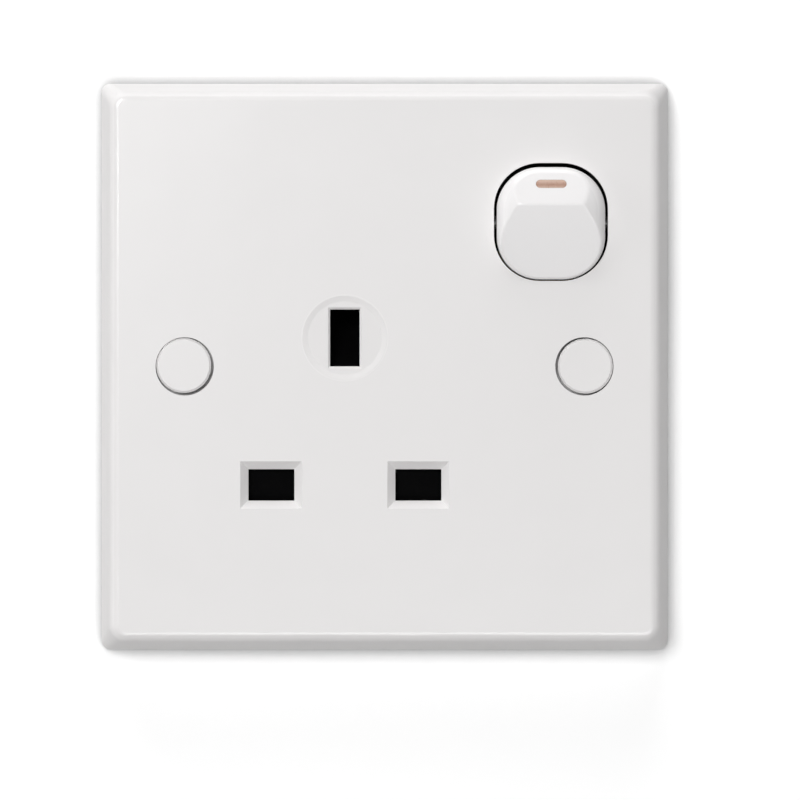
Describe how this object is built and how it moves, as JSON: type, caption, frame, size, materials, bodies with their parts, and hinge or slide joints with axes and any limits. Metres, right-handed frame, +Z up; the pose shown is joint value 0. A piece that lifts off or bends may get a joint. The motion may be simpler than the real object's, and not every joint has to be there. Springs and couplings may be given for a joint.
{
  "type": "switched wall socket",
  "caption": "Square white wall socket for a flat-pin plug, with a rocker switch, capped fixing screws, shuttered slots and a rear housing with clamp terminals.",
  "frame": {"origin": "centre of the plate's rear rim, on the wall plane", "axes": "+Z up the wall, +X to the right as seen from the front, +Y into the wall"},
  "size_m": [0.086, 0.033, 0.086],
  "materials": {
    "white_gloss": "polished white moulded plastic",
    "rocker_white": "polished white moulded plastic",
    "indicator": "translucent terracotta plastic",
    "housing_black": "fine-textured black moulding",
    "shutter_black": "black moulded plastic",
    "plunger_white": "natural moulded plastic",
    "screw_steel": "zinc-plated steel",
    "spring_steel": "drawn spring wire",
    "contact_metal": "rolled brass strip",
    "tip_silver": "silver alloy contact face",
    "terminal_brass": "extruded brass with machined holes",
    "clamp_screw": "turned brass"
  },
  "bodies": {
    "root": {"front_plate": "white_gloss", "screw_cap_left": "white_gloss", "screw_cap_right": "white_gloss", "fixing_screws": "screw_steel", "fixed_contact": "contact_metal", "fixed_contact_tip": "tip_silver", "fulcrum_bracket": "contact_metal", "line_contact": "contact_metal", "neutral_contact": "contact_metal", "earth_contact": "contact_metal", "line_terminal": "terminal_brass", "earth_terminal": "terminal_brass", "neutral_terminal": "terminal_brass", "line_terminal_screw": "clamp_screw", "earth_terminal_screw": "clamp_screw", "neutral_terminal_screw": "clamp_screw", "shutter_spring": "spring_steel", "rear_housing": "housing_black", "housing_screws": "screw_steel"},
    "rocker": {"rocker": "rocker_white", "indicator_window": "indicator", "plunger_spring": "spring_steel"},
    "plunger": {"plunger": "plunger_white"},
    "rocking_contact": {"moving_contact": "contact_metal", "moving_contact_tip": "tip_silver"},
    "shutter": {"shutter": "shutter_black"}
  },
  "joints": [
    {"name": "rocker_tilt", "type": "hinge", "parent": "root", "child": "rocker", "pos_m": [0.0251, -0.00535, 0.0218], "axis": [1, 0, 0], "range_deg": [-8, 0]},
    {"name": "plunger_slide", "type": "slide", "parent": "rocker", "child": "plunger", "axis": [0, -0.9976, -0.0698], "range_m": [0, 0.001], "stiffness_N_per_m": 800, "springref_m": -0.001, "deforming": ["plunger_spring"]},
    {"name": "contact_rock", "type": "hinge", "parent": "root", "child": "rocking_contact", "pos_m": [0.0251, 0.00857, 0.0218], "axis": [1, 0, 0], "range_deg": [0, 16]},
    {"name": "shutter_slide", "type": "slide", "parent": "root", "child": "shutter", "axis": [0, 0, -1], "range_m": [0, 0.0084], "stiffness_N_per_m": 300, "springref_m": -0.002, "deforming": ["shutter_spring"]}
  ],
  "couplings": [
    {"joint": "contact_rock", "follows": "rocker_tilt", "ratio": -2}
  ]
}
